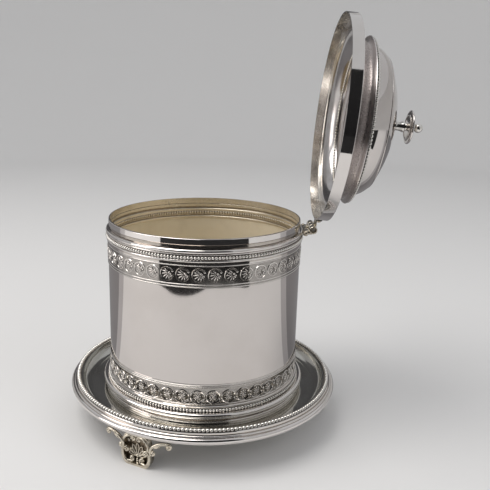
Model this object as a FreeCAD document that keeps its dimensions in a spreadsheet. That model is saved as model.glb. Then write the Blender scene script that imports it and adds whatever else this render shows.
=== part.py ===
import FreeCAD, Part

import math
import os

import Sketcher
from FreeCAD import Placement, Rotation, Vector

# Footed biscuit jar in silver plate: a straight drum on a dished tray with three cast feet,
# and a domed lid on a hinge. Millimetres, +Z up. The origin is on the jar's axis in the plane
# of the soles, and the hinge is on +X. At rest the lid stands open, as far as it goes.
# Lid pieces are drawn closed, then turned open about the hinge pin by their Placement.

sizes = [
    ("wall", 0.9, "sheet of the drum"),
    ("drum_radius", 74.2, "outside of the plain drum"),
    ("drum_foot", 36.0, "lower edge of the drum"),
    ("drum_top", 153.6, "upper edge of the drum"),
    ("bezel_radius", 73.7, "outside of the collar that the lid fits over"),
    ("bezel_wall", 1.1, "thickness of the collar"),
    ("bezel_neck", 156.8, "height where the collar's proud band starts"),
    ("bezel_top", 161.0, "height of the jar's mouth"),
    ("rim_foot", 143.2, "lower edge of the rim moulding"),
    ("rim_roll_height", 152.4, "height of the roll that the lid sits on"),
    ("rim_roll_size", 1.5, "radius of that roll"),
    ("rim_face", 74.7, "radius that the rim's reeds stand on"),
    ("rim_bead_radius", 74.8, "circle through the rim beads"),
    ("rim_bead_height", 148.3, "height of the rim beads"),
    ("body_bead_size", 1.25, "radius of one bead on the jar's body"),
    ("body_bead_count", 200, "beads in each ring on the jar's body"),
    ("frieze_face", 74.5, "outside of the ornamented bands"),
    ("frieze_reed", 0.45, "radius of the fine lines that border a band"),
    ("upper_frieze_foot", 126.6, "lower edge of the upper band"),
    ("lower_frieze_foot", 38.6, "lower edge of the lower band"),
    ("lower_frieze_top", 55.2, "upper edge of the lower band"),
    ("base_bead_radius", 75.3, "circle through the base beads"),
    ("base_bead_height", 35.5, "height of the base beads"),
    ("base_roll_radius", 80.2, "outside of the foot's roll"),
    ("base_roll_height", 32.5, "height of the foot's roll"),
    ("base_edge", 77.5, "radius of the jar's foot on the tray"),
    ("bottom_thickness", 1.0, "plate that closes the drum"),
    ("tray_floor", 26.0, "top of the tray's floor above the soles"),
    ("tray_sheet", 1.0, "sheet of the tray"),
    ("tray_well", 89.0, "radius where the tray's side starts to rise"),
    ("tray_cove", 8.0, "radius of the tray's hollow side"),
    ("tray_radius", 105.85, "outside of the tray"),
    ("tray_roll_height", 28.4, "height of the tray's outer roll"),
    ("tray_bead_radius", 100.1, "circle through the tray beads"),
    ("tray_bead_height", 34.4, "height of the tray beads"),
    ("tray_bead_size", 1.5, "radius of one tray bead"),
    ("tray_bead_count", 224, "beads round the tray"),
    ("foot_count", 3, "cast feet"),
    ("foot_bearing", 5.6, "degrees from the hinge to the foot under it"),
    ("foot_width", 24.2, "width of the shield on a foot"),
    ("foot_front", 101.6, "radius that the shield's raised edge stands at"),
    ("foot_depth", 4.8, "thickness of a foot from front to back"),
    ("foot_dish", 3.4, "how deep the shield is hollowed"),
    ("foot_reach", 22.85, "middle of a foot to the end scroll of an arm"),
    ("arm_radius", 103.0, "circle that the arms of the feet follow"),
    ("lid_seat", 154.2, "lower edge of the closed lid"),
    ("lid_radius", 75.0, "outside of the lid's skirt"),
    ("lid_wall", 0.7, "thickness of the skirt"),
    ("lid_sheet", 0.8, "sheet of the lid above the skirt"),
    ("lid_ledge", 162.5, "height of the ledge on the skirt"),
    ("lid_ledge_radius", 70.4, "radius where the hollow shoulder starts"),
    ("lid_neck_radius", 56.6, "narrowest radius under the beaded lip"),
    ("lid_neck_height", 171.6, "height of that neck"),
    ("lid_lip_radius", 60.7, "outside of the beaded lip"),
    ("lid_lip_height", 174.2, "height of the lip's top"),
    ("lid_bead_radius", 58.9, "circle through the lid beads"),
    ("lid_bead_size", 1.3, "radius of one lid bead"),
    ("lid_bead_count", 148, "beads round the lid"),
    ("dome_radius", 54.6, "foot of the dome"),
    ("dome_foot", 174.9, "height of the dome's foot"),
    ("dome_side", 17.5, "radius of the dome's turned-over side"),
    ("dome_reed_radius", 47.9, "circle of the fine line round the dome"),
    ("dome_reed_height", 187.8, "height of that line"),
    ("dome_cap", 97.0, "spherical radius of the dome's cap"),
    ("dome_crown", 200.9, "height of the dome's crown"),
    ("stud_radius", 1.25, "screw through the finial"),
    ("saucer_height", 213.4, "height of the saucer's rim"),
    ("saucer_radius", 12.3, "outside of the saucer on the finial"),
    ("knob_height", 219.8, "centre of the finial's ball"),
    ("knob_radius", 3.4, "radius of that ball"),
    ("hinge_radius", 82.75, "jar axis to hinge pin"),
    ("hinge_height", 153.9, "height of the hinge pin"),
    ("hinge_length", 24.0, "length of the whole hinge"),
    ("knuckle_radius", 3.0, "outside of a knuckle"),
    ("knuckle_gap", 0.3, "end play beside the middle knuckle"),
    ("middle_knuckle", 8.0, "length of the lid's knuckle"),
    ("pin_radius", 1.2, "hinge pin"),
    ("pin_play", 0.05, "radial play in the lid's knuckle"),
    ("lid_open", 95.35, "degrees that the lid opens"),
]

doc = FreeCAD.newDocument("BiscuitJar")
sheet = doc.addObject("Spreadsheet::Sheet", "Sizes")
for row, (name, value, note) in enumerate(sizes, start=1):
    sheet.set("A%d" % row, name)
    sheet.set("B%d" % row, str(value))
    sheet.set("C%d" % row, note)
    sheet.setAlias("B%d" % row, name)
doc.recompute()


class Size:
    """A length from the sheet that keeps its number and the expression behind it."""

    def __init__(self, value, text):
        self.value = value
        self.text = text

    def join(self, other, sign, turned=False):
        if not isinstance(other, Size):
            other = Size(float(other), repr(float(other)))
        first, second = (other, self) if turned else (self, other)
        if sign == "+":
            value = first.value + second.value
        elif sign == "-":
            value = first.value - second.value
        elif sign == "*":
            value = first.value * second.value
        else:
            value = first.value / second.value
        return Size(value, "(%s %s %s)" % (first.text, sign, second.text))

    def __add__(self, other):
        return self.join(other, "+")

    def __radd__(self, other):
        return self.join(other, "+", True)

    def __sub__(self, other):
        return self.join(other, "-")

    def __rsub__(self, other):
        return self.join(other, "-", True)

    def __mul__(self, other):
        return self.join(other, "*")

    def __rmul__(self, other):
        return self.join(other, "*", True)

    def __truediv__(self, other):
        return self.join(other, "/")


def size(name):
    return Size(float(sheet.get(name)), "Sizes." + name)


nodes = []

# Lid pieces take this placement, which opens them about the pin.
hinge_point = Vector(size("hinge_radius").value, 0, size("hinge_height").value)
opened = Placement(Vector(0, 0, 0), Rotation(Vector(0, 1, 0), size("lid_open").value), hinge_point)


def keep(item, label, on_lid=False):
    """Give a finished sub-part its name, and its place on the open lid."""
    item.Label = label
    if on_lid:
        item.Placement = opened
    nodes.append(item)
    return item


def arc_between(start, end, radius, turn):
    """The short arc of this radius between two points: turn 1 is anticlockwise, -1 clockwise."""
    chord = end - start
    half = chord.Length / 2
    rise = math.sqrt(radius * radius - half * half)
    across = Vector(-chord.y, chord.x, 0).normalize()
    centre = start + chord * 0.5 + across * rise * turn
    first, last = (start, end) if turn > 0 else (end, start)
    from_angle = math.atan2(first.y - centre.y, first.x - centre.x)
    to_angle = math.atan2(last.y - centre.y, last.x - centre.x)
    if to_angle < from_angle:
        to_angle += 2 * math.pi
    return Part.ArcOfCircle(Part.Circle(centre, Vector(0, 0, 1), radius), from_angle, to_angle)


def turned(label, outline, on_lid=False):
    """A body turned about Z. Each outline point is (radius, height), and a point that ends an
    arc adds the arc's radius and its turn. The outline runs anticlockwise and closes itself."""
    body = doc.addObject("PartDesign::Body", label)
    sketch = body.newObject("Sketcher::SketchObject", label + "_outline")
    plane = [o for o in body.Origin.OriginFeatures if o.Role == "XZ_Plane"][0]
    sketch.AttachmentSupport = [(plane, "")]
    sketch.MapMode = "FlatFace"
    points = []
    for entry in outline:
        points.append(Vector(as_number(entry[0]), as_number(entry[1]), 0))
    count = len(outline)
    ends = []
    for i in range(count):
        start = points[i]
        target = outline[(i + 1) % count]
        end = points[(i + 1) % count]
        if len(target) == 4:
            turn = target[3]
            sketch.addGeometry(arc_between(start, end, as_number(target[2]), turn), False)
            ends.append((1, 2) if turn > 0 else (2, 1))
        else:
            sketch.addGeometry(Part.LineSegment(start, end), False)
            ends.append((1, 2))
    for i in range(count):
        after = (i + 1) % count
        sketch.addConstraint(Sketcher.Constraint("Coincident", i, ends[i][1], after, ends[after][0]))
    for i, entry in enumerate(outline):
        corner = ends[i][0]
        if as_number(entry[0]) == 0:
            sketch.addConstraint(Sketcher.Constraint("PointOnObject", i, corner, -2))
        else:
            bind(sketch, "DistanceX", (-1, 1, i, corner), entry[0])
        bind(sketch, "DistanceY", (-1, 1, i, corner), entry[1])
        target = outline[(i + 1) % count]
        if len(target) == 4:
            bind(sketch, "Radius", (i,), target[2])
    doc.recompute()
    solid = body.newObject("PartDesign::Revolution", label + "_turned")
    solid.Profile = sketch
    solid.ReferenceAxis = (sketch, ["V_Axis"])
    solid.Angle = 360
    body.Tip = solid
    return keep(body, label, on_lid)


def as_number(amount):
    return amount.value if isinstance(amount, Size) else float(amount)


def bind(sketch, kind, places, amount):
    """Add a sketch dimension and tie it to the sheet."""
    index = sketch.addConstraint(Sketcher.Constraint(kind, *places, as_number(amount)))
    if isinstance(amount, Size):
        sketch.setExpression("Constraints[%d]" % index, amount.text)


def bead_ring(label, radius, height, bead, count, back_radius=None, back_height=None, on_lid=False):
    """A ring of beads that run into each other, flat where it lies on a wall or on a ledge.
    Neighbouring beads meet on the plane half way between them, so one bead's skin, cut at
    those two planes and copied round, sews into a closed solid."""
    radius, height, bead, count = radius.value, height.value, bead.value, int(count.value)
    half = math.pi / count
    far = radius + 4 * bead
    wide = far * math.tan(half)
    corners = [Vector(0, 0, 0), Vector(far, -wide, 0), Vector(far, wide, 0), Vector(0, 0, 0)]
    wedge = Part.Face(Part.makePolygon(corners)).extrude(Vector(0, 0, 4 * bead))
    wedge.translate(Vector(0, 0, height - 2 * bead))
    ball = Part.makeSphere(bead, Vector(radius, 0, height), Vector(0, 1, 0))
    if back_radius is not None:
        ball = ball.cut(Part.makeCylinder(back_radius.value, 4 * bead, Vector(0, 0, height - 2 * bead)))
    if back_height is not None:
        block = Part.makeBox(4 * bead, 4 * bead, 4 * bead)
        block.translate(Vector(radius - 2 * bead, -2 * bead, back_height.value - 4 * bead))
        ball = ball.cut(block)
    one = ball.common(wedge)
    skin = []
    for face in one.Faces:
        on_side = isinstance(face.Surface, Part.Plane) and abs(face.normalAt(0, 0).z) < 0.5
        if not on_side:
            skin.append(face)
    faces = []
    for i in range(count):
        for face in skin:
            copy = face.copy()
            copy.rotate(Vector(0, 0, 0), Vector(0, 0, 1), math.degrees(2 * half * i))
            faces.append(copy)
    shell = Part.makeCompound(faces)
    shell.sewShape(1e-5)
    ring = Part.Solid(Part.Shell(shell.Faces))
    if ring.Volume < 0:
        ring = ring.reversed()
    item = doc.addObject("Part::Feature", label)
    item.Shape = ring
    return keep(item, label, on_lid)


# Jar body

wall_inside = size("drum_radius") - size("wall")

turned("body_drum", [
    (wall_inside, size("drum_foot")),
    (size("drum_radius"), size("drum_foot")),
    (size("drum_radius"), size("drum_top")),
    (wall_inside, size("drum_top")),
])

turned("body_bottom", [
    (0, size("drum_foot")),
    (wall_inside, size("drum_foot")),
    (wall_inside, size("drum_foot") + size("bottom_thickness")),
    (0, size("drum_foot") + size("bottom_thickness")),
])

# The collar is soldered inside the drum and stands up out of it.
bezel_inside = size("bezel_radius") - size("bezel_wall")
turned("mouth_bezel", [
    (bezel_inside, size("rim_foot") + 0.4),
    (wall_inside, size("rim_foot") + 0.4),
    (wall_inside, size("bezel_neck") - 0.4),
    (size("bezel_radius"), size("bezel_neck")),
    (size("bezel_radius"), size("bezel_top") - 0.5),
    (size("bezel_radius") - 0.5, size("bezel_top"), 0.6, 1),
    (bezel_inside, size("bezel_top")),
])


def reed(radius, low, high, bulge):
    """Two outline points for a fine half-round line on a wall of this radius."""
    return [(radius, low), (radius, high, bulge, 1)]


roll = size("rim_roll_size")
roll_low = size("rim_roll_height") - roll + 0.05
roll_high = size("rim_roll_height") + roll - 0.05
bead_seat = size("rim_bead_radius") - 0.25
turned("rim_moulding", [
    (size("drum_radius"), size("rim_foot")),
    (size("rim_face"), size("rim_foot")),
    *reed(size("rim_face"), size("rim_foot") + 1.7, size("rim_foot") + 3.5, 0.95),
    (bead_seat, size("rim_foot") + 3.7),
    (bead_seat, size("rim_foot") + 6.5),
    *reed(size("rim_face"), size("rim_foot") + 6.6, size("rim_foot") + 7.6, 0.6),
    (size("rim_face"), roll_low),
    (size("rim_face"), roll_high, roll, 1),
    (size("drum_radius"), roll_high),
])

bead_ring("rim_bead_wire", size("rim_bead_radius"), size("rim_bead_height"), size("body_bead_size"),
          size("body_bead_count"), back_radius=bead_seat)

line = size("frieze_reed")
field = size("frieze_face")


def frieze_band(label, low, high, lines):
    """A thin applied band: a plain field between fine half-round lines at these heights."""
    outline = [(size("drum_radius"), low), (field, low)]
    for height in lines:
        outline += reed(field, height - line + 0.03, height + line - 0.03, line)
    outline += [(field, high), (size("drum_radius"), high)]
    return turned(label, outline)


upper_foot = size("upper_frieze_foot")
frieze_band("upper_frieze_band", upper_foot, size("rim_foot"),
            [upper_foot + 0.8, upper_foot + 2.6, size("rim_foot") - 0.7])

lower_foot = size("lower_frieze_foot")
lower_top = size("lower_frieze_top")
frieze_band("lower_frieze_band", lower_foot, lower_top,
            [lower_foot + 1.2, lower_top - 2.4, lower_top - 1.1])

# Foot of the jar: a plain band, beads, a large roll, a cove and a reed on the tray
base_seat = size("base_bead_radius") - 0.25
base_roll = 2.1
base_inside = size("base_edge") - 1.0
turned("base_moulding", [
    (base_inside, size("tray_floor")),
    (size("base_edge"), size("tray_floor")),
    (size("base_edge"), size("tray_floor") + 0.6),
    (size("base_edge"), size("tray_floor") + 2.3, 0.95, 1),
    (size("base_edge") - 0.6, size("tray_floor") + 2.6),
    (size("base_roll_radius") - base_roll, size("base_roll_height") - base_roll, 2.2, -1),
    (size("base_roll_radius"), size("base_roll_height"), base_roll, 1),
    (size("base_roll_radius") - base_roll, size("base_roll_height") + base_roll, base_roll, 1),
    (size("base_bead_radius") + 0.3, size("base_bead_height") - 1.3),
    (base_seat, size("base_bead_height") - 1.3),
    (base_seat, size("base_bead_height") + 1.4),
    (size("base_bead_radius"), size("base_bead_height") + 1.6),
    (size("base_bead_radius"), lower_foot - 0.3),
    (size("base_bead_radius") - 0.3, lower_foot),
    (size("drum_radius"), lower_foot),
    (size("drum_radius"), size("drum_foot") - 1.0),
    (base_inside, size("drum_foot") - 3.8),
])

bead_ring("base_bead_wire", size("base_bead_radius"), size("base_bead_height"), size("body_bead_size"),
          size("body_bead_count"), back_radius=base_seat)

# Tray

cove = size("tray_cove")
cove_outside = cove + size("tray_sheet")
tray_under = size("tray_floor") - size("tray_sheet")
cove_top = size("tray_floor") + cove
turned("tray_dish", [
    (0, tray_under),
    (size("tray_well"), tray_under),
    (size("tray_well") + cove_outside, cove_top, cove_outside, 1),
    (size("tray_well") + cove, cove_top),
    (size("tray_well"), size("tray_floor"), cove, -1),
    (0, size("tray_floor")),
])

# The border's inside follows the dish over a twelfth of a turn of its cove, where it is soldered.
rim_edge = size("tray_radius")
roll_foot = size("tray_roll_height") - 1.9
roll_head = size("tray_roll_height") + 1.9
tray_seat = size("tray_bead_height") - 0.7
solder_radius = size("tray_well") + cove_outside * math.cos(math.pi / 6)
solder_height = cove_top - cove_outside * math.sin(math.pi / 6)
turned("tray_rim", [
    (solder_radius, tray_under),
    (rim_edge - 2.9, tray_under),
    (rim_edge - 2.2, roll_foot - 0.2, 0.9, 1),
    (rim_edge - 1.65, roll_foot),
    (rim_edge - 1.65, roll_head, 1.92, 1),
    (rim_edge - 2.35, roll_head + 0.1),
    (rim_edge - 3.45, roll_head + 1.4, 0.95, 1),
    (rim_edge - 3.75, roll_head + 1.4),
    (rim_edge - 3.85, tray_seat - 0.4),
    (rim_edge - 4.15, tray_seat),
    (size("tray_well") + cove_outside + 0.4, tray_seat),
    (size("tray_well") + cove_outside, cove_top),
    (solder_radius, solder_height, cove_outside, -1),
])

bead_ring("tray_bead_wire", size("tray_bead_radius"), size("tray_bead_height"), size("tray_bead_size"),
          size("tray_bead_count"), back_height=tray_seat)

# Cast feet. A foot is drawn at the bearing of +X: y runs along the tray's edge and z up. Its
# shield is dished, with scrolls on the raised edge and a palmette on the floor of the dish.


def rod(points, thickness):
    """A round bar along the arc through three points, with round ends."""
    path = Part.Wire([Part.Arc(*points).toShape()])
    start = path.Edges[0].valueAt(path.Edges[0].FirstParameter)
    along = path.Edges[0].tangentAt(path.Edges[0].FirstParameter)
    ring = Part.Wire([Part.makeCircle(thickness, start, along)])
    bar = path.makePipeShell([ring], True, False)
    return [bar, Part.makeSphere(thickness, points[0]), Part.makeSphere(thickness, points[2])]


def leaf(length, width):
    """A plump petal that runs up +Z: a cone with a round tip."""
    petal = Part.makeCone(width * 0.4, width, length, Vector(0, 0, 2.0))
    return petal.fuse(Part.makeSphere(width, Vector(0, 0, 2.0 + length)))


def volute(x, y, z, radius, thickness, depth):
    """A scroll's eye on a round pad: a ring with a button in it, facing outwards."""
    ring = Part.makeTorus(radius, thickness, Vector(x, y, z), Vector(1, 0, 0))
    button = Part.makeSphere(radius * 0.75, Vector(x, y, z))
    pad = Part.makeCylinder(radius, depth, Vector(x - depth, y, z), Vector(1, 0, 0))
    return [pad, ring, button]


def shield_face(x, inset):
    """The shield's outline at this radius, drawn in by the inset."""
    half = size("foot_width").value / 2 - inset
    narrow = half - 4.4
    waist = half - 1.5
    head = narrow - 0.6
    top = tray_under.value - inset
    right = [(narrow, inset), (half - 1.0, inset + 3.6), (half, 9.0), (half - 0.2, 12.4), (waist, 15.2),
             (waist - 0.2, 20.0), (head, top)]
    left = [(-y, z) for y, z in reversed(right)]
    edge = []
    for side in (right, left):
        spots = [Vector(x, y, z) for y, z in side]
        for i in (0, 2, 4):
            edge.append(Part.Arc(*spots[i:i + 3]))
        after = left[0] if side is right else right[0]
        edge.append(Part.LineSegment(spots[6], Vector(x, *after)))
    return Part.Face(Part.Wire([piece.toShape() for piece in edge]))


def foot_shape():
    top = tray_under.value
    front = size("foot_front").value
    depth = size("foot_depth").value
    dish = size("foot_dish").value
    half = size("foot_width").value / 2
    floor = front - dish
    shield = shield_face(front - depth, 0).extrude(Vector(depth, 0, 0))
    shield = shield.cut(shield_face(floor, 1.7).extrude(Vector(dish, 0, 0)))
    pieces = []
    # seven petals fan out of one root
    for i in range(-3, 4):
        petal = leaf(7.4 - 0.7 * abs(i), 1.25)
        petal.rotate(Vector(0, 0, 0), Vector(1, 0, 0), -25 * i)
        petal.translate(Vector(floor + 0.3, 0, 7.0))
        pieces.append(petal)
    pieces.append(Part.makeSphere(1.7, Vector(floor + 0.4, 0, 3.4)))
    around = size("arm_radius").value
    reach = size("foot_reach").value
    for side in (-1, 1):
        # the raised edge: a long scroll with an eye at each end, and a hood over the petals
        pieces += rod([Vector(front, side * (half - 3.9), 14.1), Vector(front, side * (half - 1.3), 12.2),
                       Vector(front, side * (half - 0.9), 8.6)], 1.1)
        pieces += rod([Vector(front, side * (half - 0.9), 8.6), Vector(front, side * (half - 2.2), 4.4),
                       Vector(front, side * (half - 5.6), 1.5)], 1.1)
        pieces += volute(front - 0.2, side * (half - 4.2), 11.4, 1.9, 0.75, dish)
        pieces += volute(floor + 1.0, side * 4.2, 4.7, 1.7, 0.75, 1.4)
        pieces += rod([Vector(front, side * (half - 2.0), 15.4), Vector(front, side * (half - 4.0), 20.6),
                       Vector(front, side * 2.2, 23.3)], 1.0)
        pieces += volute(floor + 1.4, side * 2.0, 20.8, 1.2, 0.55, 1.8)
        # an arm along the underside of the border, with a scroll at each end
        arm = []
        for y, z in ((half - 2.3, 14.9), (half - 0.4, 18.8), (half + 3.8, 21.6), (half + 7.4, 22.8),
                     (reach, 23.1)):
            angle = y / around
            arm.append(Vector(around * math.cos(angle), side * around * math.sin(angle), z))
        pieces += rod(arm[0:3], 1.2) + rod(arm[2:5], 1.2)
        for y, z, radius in ((reach, 21.0, 2.0), (half + 0.7, 14.9, 1.7)):
            eye = Part.makeTorus(radius, 0.85, Vector(around, 0, z), Vector(1, 0, 0))
            eye = eye.fuse(Part.makeSphere(radius * 0.8, Vector(around, 0, z)))
            eye.rotate(Vector(0, 0, 0), Vector(0, 0, 1), side * math.degrees(y / around))
            pieces.append(eye)
    foot = shield
    for piece in pieces:
        foot = foot.fuse(piece)
    room = Part.makeBox(30, 80, top, Vector(85, -40, 0))
    return foot.common(room).removeSplitter()


foot_names = ["foot_right", "foot_back", "foot_front_left"]
for i in range(int(size("foot_count").value)):
    foot = doc.addObject("Part::Feature", foot_names[i])
    foot.Shape = foot_shape()
    bearing = size("foot_bearing").value + i * 360.0 / size("foot_count").value
    foot.Placement = Placement(Vector(0, 0, 0), Rotation(Vector(0, 0, 1), bearing))
    keep(foot, foot_names[i])

# Lid

skirt_inside = size("lid_radius") - size("lid_wall")
ledge = size("lid_ledge")
sheet_gauge = size("lid_sheet")
turned("lid_skirt", [
    (skirt_inside, size("lid_seat")),
    (size("lid_radius"), size("lid_seat")),
    (size("lid_radius"), ledge - 0.8),
    (size("lid_radius") - 0.6, ledge - 0.2, 0.6, 1),
    (size("lid_ledge_radius"), ledge),
    (size("lid_ledge_radius"), ledge - sheet_gauge),
    (skirt_inside - 0.6, ledge - 0.95),
    (skirt_inside, ledge - 1.5, 0.7, -1),
], on_lid=True)

shoulder_arc = 12.0
turned("lid_shoulder", [
    (size("lid_ledge_radius"), ledge - sheet_gauge, shoulder_arc + 0.8, 1),
    (size("lid_ledge_radius"), ledge),
    (size("lid_neck_radius"), size("lid_neck_height"), shoulder_arc, -1),
    (size("lid_neck_radius") - sheet_gauge, size("lid_neck_height")),
], on_lid=True)

lip = size("lid_lip_radius")
lip_top = size("lid_lip_height")
dome_inside = size("dome_radius") - sheet_gauge
turned("lid_collar", [
    (size("lid_neck_radius") - sheet_gauge, size("lid_neck_height")),
    (size("lid_neck_radius"), size("lid_neck_height")),
    (lip - 0.2, lip_top - 0.8, 4.0, -1),
    (lip, lip_top - 0.3),
    (lip - 0.4, lip_top),
    (size("lid_bead_radius") - 1.6, lip_top),
    (size("lid_bead_radius") - 1.8, size("dome_foot")),
    (dome_inside, size("dome_foot")),
    (dome_inside, size("dome_foot") - sheet_gauge),
    (size("lid_neck_radius") - sheet_gauge, size("lid_neck_height") + 0.8),
], on_lid=True)

bead_ring("lid_bead_wire", size("lid_bead_radius"), lip_top + 0.7, size("lid_bead_size"),
          size("lid_bead_count"), back_height=lip_top, on_lid=True)

crown = size("dome_crown")
crown_drop = 0.01
reed_radius = size("dome_reed_radius")
reed_height = size("dome_reed_height")
turned("lid_dome", [
    (dome_inside, size("dome_foot")),
    (size("dome_radius"), size("dome_foot")),
    (reed_radius, reed_height, size("dome_side"), 1),
    (reed_radius - 0.9, reed_height + 0.8, 0.65, 1),
    (size("stud_radius"), crown - crown_drop, size("dome_cap"), 1),
    (size("stud_radius"), crown - crown_drop - sheet_gauge),
    (reed_radius - 1.3, reed_height - 0.1, size("dome_cap") - sheet_gauge, -1),
    (reed_radius - 0.7, reed_height - 0.6),
], on_lid=True)

# Finial: a turned stem, a dished saucer and a ball, drawn down on the dome by one screw

stud = size("stud_radius")
stem_top = size("saucer_height") - 1.8
turned("finial_stem", [
    (stud, crown),
    (4.2, crown),
    (4.2, crown + 0.6),
    (3.2, crown + 2.9, 3.2, -1),
    (3.2, crown + 4.0),
    (4.1, crown + 7.6, 8.0, -1),
    (4.1, crown + 8.2),
    (2.6, crown + 8.6),
    (2.4, stem_top, 1.3, 1),
    (stud, stem_top),
], on_lid=True)

saucer_edge = size("saucer_radius")
saucer_mid = size("saucer_height")
turned("finial_saucer", [
    (stud, stem_top),
    (3.4, stem_top),
    (saucer_edge - 4.4, stem_top + 0.2),
    (saucer_edge - 3.0, stem_top + 0.4, 0.8, 1),
    (saucer_edge - 1.3, saucer_mid - 0.9),
    (saucer_edge, saucer_mid, 1.0, 1),
    (saucer_edge - 1.1, saucer_mid + 0.8, 0.95, 1),
    (saucer_edge - 1.8, saucer_mid + 0.1),
    (4.0, saucer_mid - 0.4),
    (2.8, saucer_mid + 0.8),
    (stud, saucer_mid + 0.8),
], on_lid=True)

knob = size("knob_radius")
knob_neck = 1.9
knob_drop = math.sqrt(knob.value ** 2 - knob_neck ** 2)
knob_low = size("knob_height") - knob_drop
turned("finial_ball", [
    (0, knob_low + 1.4),
    (stud, knob_low + 1.4),
    (stud, saucer_mid + 0.8),
    (2.6, saucer_mid + 0.8),
    (2.1, saucer_mid + 1.9),
    (2.1, knob_low - 0.4),
    (knob_neck, knob_low),
    (0, size("knob_height") + knob, knob, 1),
], on_lid=True)

stud_foot = crown - 6.4
turned("finial_stud", [
    (0, stud_foot),
    (stud - 0.3, stud_foot),
    (stud, stud_foot + 0.3),
    (stud, knob_low + 1.4),
    (0, knob_low + 1.4),
], on_lid=True)

washer_top = crown - sheet_gauge - 0.15
washer = 0.8
turned("finial_washer", [
    (stud, washer_top - washer),
    (5.0, washer_top - washer),
    (5.0, washer_top),
    (stud, washer_top),
], on_lid=True)

nut_height = 2.4
nut_across_corners = 3.2
hexagon = doc.addObject("Part::Prism", "nut_blank")
hexagon.Polygon = 6
hexagon.Circumradius = nut_across_corners
hexagon.Height = nut_height
bore = doc.addObject("Part::Cylinder", "nut_bore")
bore.setExpression("Radius", "Sizes.stud_radius")
bore.Height = nut_height
nut = doc.addObject("Part::Cut", "finial_nut")
nut.Base = hexagon
nut.Tool = bore
for blank in (hexagon, bore):
    blank.Placement.Base = Vector(0, 0, (washer_top - washer - nut_height).value)
doc.recompute()
keep(nut, "finial_nut", on_lid=True)

# Hinge

pin = doc.addObject("Part::Cylinder", "hinge_pin")
pin.setExpression("Radius", "Sizes.pin_radius")
pin.setExpression("Height", "Sizes.hinge_length - 3")
half_pin = (size("hinge_length").value - 3) / 2
pin.Placement = Placement(hinge_point + Vector(0, half_pin, 0), Rotation(Vector(1, 0, 0), 90))
keep(pin, "hinge_pin")


def knuckle(low, high, bore_radius):
    """A tube along the pin between two places along it."""
    tube = Part.makeCylinder(size("knuckle_radius").value, high - low, hinge_point + Vector(0, low, 0),
                             Vector(0, 1, 0))
    hole = Part.makeCylinder(bore_radius, high - low, hinge_point + Vector(0, low, 0), Vector(0, 1, 0))
    return tube, hole


half_hinge = size("hinge_length").value / 2
half_middle = size("middle_knuckle").value / 2
gap = size("knuckle_gap").value


def bracket_shape():
    """The cast bracket on the jar: a stepped plate from the rim to two knuckles."""
    reach = hinge_point.x
    top = size("rim_roll_height").value + 1.0
    plate = Part.makeBox(reach - 75.4, 2 * half_hinge - 1.6, 3.0,
                         Vector(75.4, -half_hinge + 0.8, top - 3.0))
    step = Part.makeBox(1.9, 2 * half_hinge + 3.0, 3.8, Vector(75.4, -half_hinge - 1.5, top - 4.2))
    body = plate.fuse(step)
    holes = []
    for low, high in ((-half_hinge, -half_middle - gap), (half_middle + gap, half_hinge)):
        tube, hole = knuckle(low, high, size("pin_radius").value)
        body = body.fuse(tube)
        holes.append(hole)
    room = Part.makeCylinder(size("knuckle_radius").value + 0.5, 2 * (half_middle + gap),
                             hinge_point - Vector(0, half_middle + gap, 0), Vector(0, 1, 0))
    body = body.cut(room)
    for hole in holes:
        body = body.cut(hole)
    # it is cast to sit on the rim's roll and reeds, clear of the beads
    rim = doc.getObject("rim_moulding").Shape
    ring = Part.makeCylinder(size("rim_bead_radius").value + 1.3, 2.8,
                             Vector(0, 0, size("rim_bead_height").value - 1.4))
    inside = Part.makeCylinder(size("rim_face").value, 20, Vector(0, 0, 140))
    return body.cut(rim).cut(ring).cut(inside)


def leaf_shape():
    """The leaf on the lid, drawn closed: a curved plate on the skirt, a tongue and a knuckle."""
    skirt = size("lid_radius").value
    low, high = size("lid_seat").value + 0.9, ledge.value - 1.4
    plate = Part.makeCylinder(skirt + 1.0, high - low, Vector(0, 0, low))
    plate = plate.cut(Part.makeCylinder(skirt, high - low, Vector(0, 0, low)))
    window = Part.makeBox(20, 2 * half_hinge, 30, Vector(skirt - 8, -half_hinge, low - 5))
    plate = plate.common(window)
    bore_radius = size("pin_radius").value + size("pin_play").value
    tube, hole = knuckle(-half_middle, half_middle, bore_radius)
    tongue_foot = hinge_point.z + size("knuckle_radius").value - 1.4
    tongue = Part.makeBox(hinge_point.x - skirt, 2 * half_middle, 1.4,
                          Vector(skirt, -half_middle, tongue_foot))
    tongue = tongue.cut(Part.makeCylinder(skirt, 40, Vector(0, 0, 140)))
    return plate.fuse(tongue).fuse(tube).cut(hole).removeSplitter()


doc.recompute()
bracket = doc.addObject("Part::Feature", "hinge_bracket")
bracket.Shape = bracket_shape()
keep(bracket, "hinge_bracket")
lid_leaf = doc.addObject("Part::Feature", "hinge_lid_leaf")
lid_leaf.Shape = leaf_shape()
keep(lid_leaf, "hinge_lid_leaf", on_lid=True)

# Check every object, then write one file for each sub-part

doc.recompute()
faults = []
for item in doc.Objects:
    if "Invalid" in item.State or "Error" in item.State:
        faults.append("%s: %s" % (item.Label, item.State))
for node in nodes:
    if node.Shape.isNull() or not node.Shape.isValid() or not node.Shape.Solids:
        faults.append("%s has no valid solid" % node.Label)
if faults:
    raise RuntimeError("; ".join(faults))

os.makedirs("parts", exist_ok=True)
for node in nodes:
    node.Shape.exportStep(os.path.join("parts", node.Label + ".step"))
    print("%-18s %9.1f mm3, %d solid" % (node.Label, node.Shape.Volume, len(node.Shape.Solids)))
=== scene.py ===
import math

import bmesh
import bpy
from mathutils import Matrix, Vector


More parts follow.
